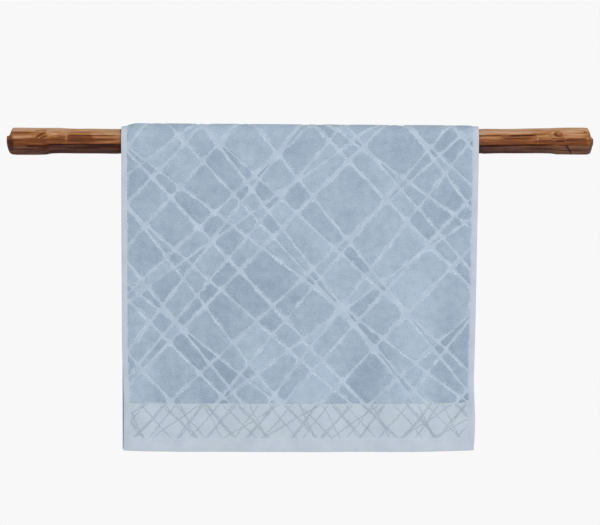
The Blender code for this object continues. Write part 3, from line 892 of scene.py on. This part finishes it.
class Finish:
    """A material under construction, on its Principled shader."""

    def __init__(self, name, roughness, sheen=0.0):
        self.material = bpy.data.materials.new(name)
        self.material.use_nodes = True
        self.tree = self.material.node_tree
        self.shader = self.tree.nodes["Principled BSDF"]
        self.shader.inputs["Roughness"].default_value = roughness
        self.shader.inputs["Sheen Weight"].default_value = sheen
        self.shader.inputs["Sheen Roughness"].default_value = 0.6
        self.shader.inputs["Specular IOR Level"].default_value = 0.2 if sheen else 0.4

    def node(self, kind, settings=None, inputs=None, output=0):
        """Adds a node: its settings first, then the values or wires of its sockets."""
        made = self.tree.nodes.new(kind)
        for key, value in (settings or {}).items():
            setattr(made, key, value)
        for key, value in (inputs or {}).items():
            self.feed(made.inputs[key], value)
        return Wire(self, made.outputs[output])

    def feed(self, socket, value):
        if isinstance(value, Wire):
            self.tree.links.new(value.socket, socket)
        else:
            socket.default_value = value

    def mix(self, share, first, second):
        """The first colour where share is 0, and the second where it is 1."""
        inputs = {0: share, 6: first, 7: second}
        return self.node("ShaderNodeMix", {"data_type": "RGBA"}, inputs, output=2)

    def ramp(self, value, stops):
        """A colour from a table of values and colours, straight between the rows."""
        colour = stops[0][1]
        for (low, _), (high, after) in zip(stops, stops[1:]):
            inputs = {"Value": value, "From Min": low, "From Max": high}
            colour = self.mix(self.node("ShaderNodeMapRange", None, inputs), colour, after)
        return colour

    def cloth_place(self):
        return self.node("ShaderNodeUVMap", {"uv_map": "cloth"})

    def own_place(self):
        return self.node("ShaderNodeTexCoord", output=3)

    def surface_value(self, name):
        return self.node("ShaderNodeAttribute", {"attribute_name": name}, output=2)

    def stretched(self, place, scale):
        return self.node("ShaderNodeMapping", None, {"Vector": place, "Scale": scale})

    def noise(self, place, scale, detail=2.0):
        return self.node("ShaderNodeTexNoise", None, {"Vector": place, "Scale": scale, "Detail": detail})

    def wave(self, place, scale, settings, distortion=0.4):
        inputs = {"Vector": place, "Scale": scale, "Distortion": distortion, "Detail": 1.0}
        return self.node("ShaderNodeTexWave", settings, inputs)

    def bump(self, height, distance, strength):
        inputs = {"Height": height, "Distance": distance, "Strength": strength}
        self.feed(self.shader.inputs["Normal"], self.node("ShaderNodeBump", None, inputs))

    def done(self, colour):
        self.feed(self.shader.inputs["Base Color"], colour)
        return self.material


PILE_DARK = seen(142, 161, 180)
PILE_LIGHT = seen(180, 197, 212)
# Painted highlight on the loose fringe at each cushion's edge, where its tufts catch the light.
FRINGE_HIGHLIGHT = seen(217, 229, 239)
GROUND_DARK = seen(174, 190, 206)
GROUND_LIGHT = seen(198, 211, 223)
BAND_DARK = seen(185, 197, 208)
BAND_LIGHT = seen(196, 207, 217)
HEM_DARK = seen(186, 197, 209)
HEM_LIGHT = seen(199, 208, 219)
YARN_DARK = seen(166, 180, 192)
YARN_LIGHT = seen(186, 197, 207)


def cut_pile():
    """Cut cotton pile: the nap differs from cushion to cushion and patch to patch, and is painted paler
    on the folds that stand out and darker in their troughs, as painted light and shade; its tips are a
    fine grain, and the loose fringe at each cushion's edge is painted paler, a painted highlight where
    its tufts catch the light."""
    finish = Finish("cut_pile", 0.95, sheen=0.12)
    place = finish.cloth_place()
    # Each cushion's own tone, with the painted light and shade of the folds.
    nap_and_fold_shade = finish.surface_value("nap_and_fold_shade") * 0.13 + finish.noise(place, 13.0) * 0.31
    nap_and_fold_shade = nap_and_fold_shade + finish.noise(place, 60.0) * 0.32
    grain = finish.noise(place, 420.0, 3.0)
    colour = finish.mix((nap_and_fold_shade + grain * 0.74).step(0.48, 1.02), PILE_DARK, PILE_LIGHT)
    loose = finish.noise(place, 34.0).step(0.44, 0.60) * 0.75 + 0.25
    # Painted highlight on each cushion's fringe, where its tufts catch the light.
    fringe = finish.surface_value("fringe") * loose * grain.step(0.34, 0.62)
    tips = finish.noise(place, 620.0, 3.0) + finish.noise(place, 210.0) * 0.6
    finish.bump(tips, 0.0011, 0.55)
    return finish.done(finish.mix(fringe, colour, FRINGE_HIGHLIGHT))


def woven(name, dark, light, ribs, rib_distance):
    """A flat weave: ribs across the cloth with yarn unevenness, in two close tones."""
    finish = Finish(name, 0.9, sheen=0.1)
    place = finish.cloth_place()
    wave = finish.wave(place, ribs, {"bands_direction": "Y", "wave_profile": "SIN"})
    yarn = finish.noise(finish.stretched(place, (0.25, 1.0, 1.0)), 700.0)
    patch = finish.noise(place, 26.0)
    finish.bump(wave * 0.5 + yarn, rib_distance, 0.5)
    return finish.done(finish.mix((patch * 0.6 + yarn * 0.5).step(0.35, 0.75), dark, light))


def looped(name, dark, light, distance):
    """Small loops of yarn standing close together."""
    finish = Finish(name, 0.95, sheen=0.12)
    place = finish.cloth_place()
    loops = finish.noise(place, 560.0, 2.0) + finish.noise(place, 300.0) * 0.5
    patch = finish.noise(place, 30.0)
    finish.bump(loops, distance, 0.6)
    return finish.done(finish.mix((patch * 0.6 + loops * 0.4).step(0.42, 0.92), dark, light))


LIT_WOOD = (  # the lit copy of the wood's colours, from dark to light
    (0.00, seen(34, 10, 2)),
    (0.16, seen(72, 30, 8)),
    (0.30, seen(97, 49, 18)),
    (0.50, seen(125, 69, 31)),
    (0.72, seen(172, 118, 72)),
    (1.00, seen(205, 170, 141)),
)
SHADED_WOOD = (  # a shaded copy of the same wood, painted shade where only the pale floor lights it
    (0.00, seen(34, 12, 6)),
    (0.16, seen(71, 28, 13)),
    (0.30, seen(93, 58, 48)),
    (0.60, seen(150, 104, 76)),
)
SAWN_DARK = seen(70, 50, 42)
SAWN_LIGHT = seen(128, 92, 68)


def hewn_wood():
    """Oiled hardwood in browns: each flat's painted light and shade and its marks, varied by grain in
    long streaks, in a lit copy of the colours and a painted-shade copy for the places that face the
    floor.
    """
    finish = Finish("hewn_wood", 0.55)
    finish.shader.inputs["Specular IOR Level"].default_value = 0.15
    place = finish.own_place()
    grain = finish.noise(finish.stretched(place, (3.0, 60.0, 60.0)), 6.0, 4.0)
    streak = finish.noise(finish.stretched(place, (1.6, 28.0, 28.0)), 5.0, 3.0)
    fine = finish.noise(finish.stretched(place, (12.0, 260.0, 260.0)), 5.0, 2.0)
    figure = (grain * 0.50 + streak * 0.45 + fine * 0.25).step(0.44, 0.76)
    finish.bump(grain * 0.5 + fine, 0.0006, 0.5)
    tone_and_shade = finish.surface_value("tone_and_shade") + (figure - 0.5) * 0.32
    # The lit copy and the painted-shade copy of the wood's colours, mixed by where a place faces the
    # light.
    under, front = (finish.ramp(tone_and_shade, stops) for stops in (SHADED_WOOD, LIT_WOOD))
    return finish.done(finish.mix(finish.surface_value("lit"), under, front))


def end_grain():
    """The sawn ends: growth rings round the heart, with fine pores."""
    finish = Finish("end_grain", 0.6)
    place = finish.own_place()
    rings = finish.wave(place, 150.0, {"wave_type": "RINGS", "rings_direction": "X"}, 2.5)
    pores = finish.noise(place, 1400.0, 2.0)
    finish.bump(rings * 0.5 + pores, 0.0003, 0.5)
    return finish.done(finish.mix((rings * 0.6 + pores * 0.5).step(0.3, 0.9), SAWN_DARK, SAWN_LIGHT))


# The room

BACKDROP = seen(248, 248, 248)
GLOW = (0.97, 0.985, 1.0, 1.0)
GLOW_STRENGTH = 0.50


def aim(thing, target):
    """Turns a lamp, which looks along its own -Z, towards the target."""
    across, away, up = np.array(target) - np.array(thing.location)
    tilt = np.pi / 2 + np.arctan2(up, np.hypot(across, away))
    thing.rotation_euler = (tilt, 0, -np.arctan2(across, away))


def soft_light(name, place, target, size, watts):
    light = bpy.data.lights.new(name, "AREA")
    light.shape = "DISK"
    light.size = size
    light.energy = watts
    lamp = bpy.data.objects.new(name, light)
    lamp.location = place
    aim(lamp, target)
    bpy.context.scene.collection.objects.link(lamp)


def studio():
    """A pale world, brighter to the eye than as a light, with a soft key light from the front."""
    world = bpy.data.worlds.new("studio")
    bpy.context.scene.world = world
    world.use_nodes = True
    nodes, links = world.node_tree.nodes, world.node_tree.links
    shown = nodes["Background"]
    shown.inputs["Color"].default_value = BACKDROP
    glow = nodes.new("ShaderNodeBackground")
    glow.inputs["Color"].default_value = GLOW
    glow.inputs["Strength"].default_value = GLOW_STRENGTH
    ray = nodes.new("ShaderNodeLightPath")
    blend = nodes.new("ShaderNodeMixShader")
    links.new(ray.outputs["Is Camera Ray"], blend.inputs["Fac"])
    links.new(glow.outputs["Background"], blend.inputs[1])
    links.new(shown.outputs["Background"], blend.inputs[2])
    links.new(blend.outputs["Shader"], nodes["World Output"].inputs["Surface"])
    soft_light("key_light", place=(1.9, -6.2, 3.0), target=(0, 0, -0.25), size=3.4, watts=284)
    bpy.context.scene.view_settings.view_transform = "Standard"


FLOOR_LEVEL = -1.3
FLOOR_RADIUS = 1.9
FLOOR_DEPTH = 0.012
FLOOR_PROFILE = ((0.5, 0), (0.99, 0), (1, 1 / 6), (1, 5 / 6), (0.99, 1), (0.5, 1))  # of radius, of depth


def pale_floor(finish):
    """A thin round floor well below the hem: rings out to the radius, over a cut rim, and back
    under."""
    profile = np.array(FLOOR_PROFILE) * (1, -FLOOR_DEPTH)
    angle = np.linspace(0, 2 * np.pi, 128, endpoint=False)
    r, z = profile[:, 0, None] * FLOOR_RADIUS, profile[:, 1, None] + FLOOR_LEVEL
    points = np.stack([r * np.cos(angle), r * np.sin(angle), z + 0 * angle], axis=-1).reshape(-1, 3)
    points = np.concatenate([points, [[0, 0, FLOOR_LEVEL], [0, 0, FLOOR_LEVEL - FLOOR_DEPTH]]])
    quads = grid_quads(len(profile), len(angle), close=True)[:, ::-1]
    fans = np.concatenate(end_fans(len(profile), len(angle)))[:, ::-1]
    add_piece("floor", points, [quads, fans], [finish])


CAMERA_DISTANCE = 8.0
SENSOR = 36.0


def camera():
    """Straight on, with the picture's scale at the towel's face and the pole's axis on its row."""
    data = bpy.data.cameras.new("camera")
    data.sensor_width = SENSOR
    data.lens = SENSOR * (CAMERA_DISTANCE - DRAPE_RADIUS) / (PICTURE[0] * PIXEL)
    made = bpy.data.objects.new("camera", data)
    below_axis = (PICTURE[1] / 2 - POLE_ROW) * PIXEL * CAMERA_DISTANCE / (CAMERA_DISTANCE - DRAPE_RADIUS)
    made.location = (0, -CAMERA_DISTANCE, -below_axis)
    made.rotation_euler = (np.pi / 2, 0, 0)
    bpy.context.scene.collection.objects.link(made)
    bpy.context.scene.camera = made


camera()
studio()
pale_floor(Finish("pale_floor", 0.8).done(seen(236, 236, 236)))

cloth_finishes = [
    looped("looped_ground", GROUND_DARK, GROUND_LIGHT, 0.0005),
    woven("band_weave", BAND_DARK, BAND_LIGHT, 160.0, 0.00035),
    woven("hem_weave", HEM_DARK, HEM_LIGHT, 220.0, 0.00030),
    looped("reverse_loops", PILE_DARK, PILE_LIGHT, 0.0011),
]
cloth = woven_cloth(cloth_finishes)
pile = pile_pieces(cut_pile())
yarns = band_net(woven("band_yarn", YARN_DARK, YARN_LIGHT, 260.0, 0.0003))
stitches = hem_stitches(woven("hem_thread", HEM_DARK, HEM_LIGHT, 400.0, 0.0002))
on_cloth = [*pile, yarns, stitches]
for piece in [cloth, *on_cloth]:
    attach(piece, "root")
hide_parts("towel")

pole = pole_wood([hewn_wood(), end_grain()])
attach(pole, "root")
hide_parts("pole")
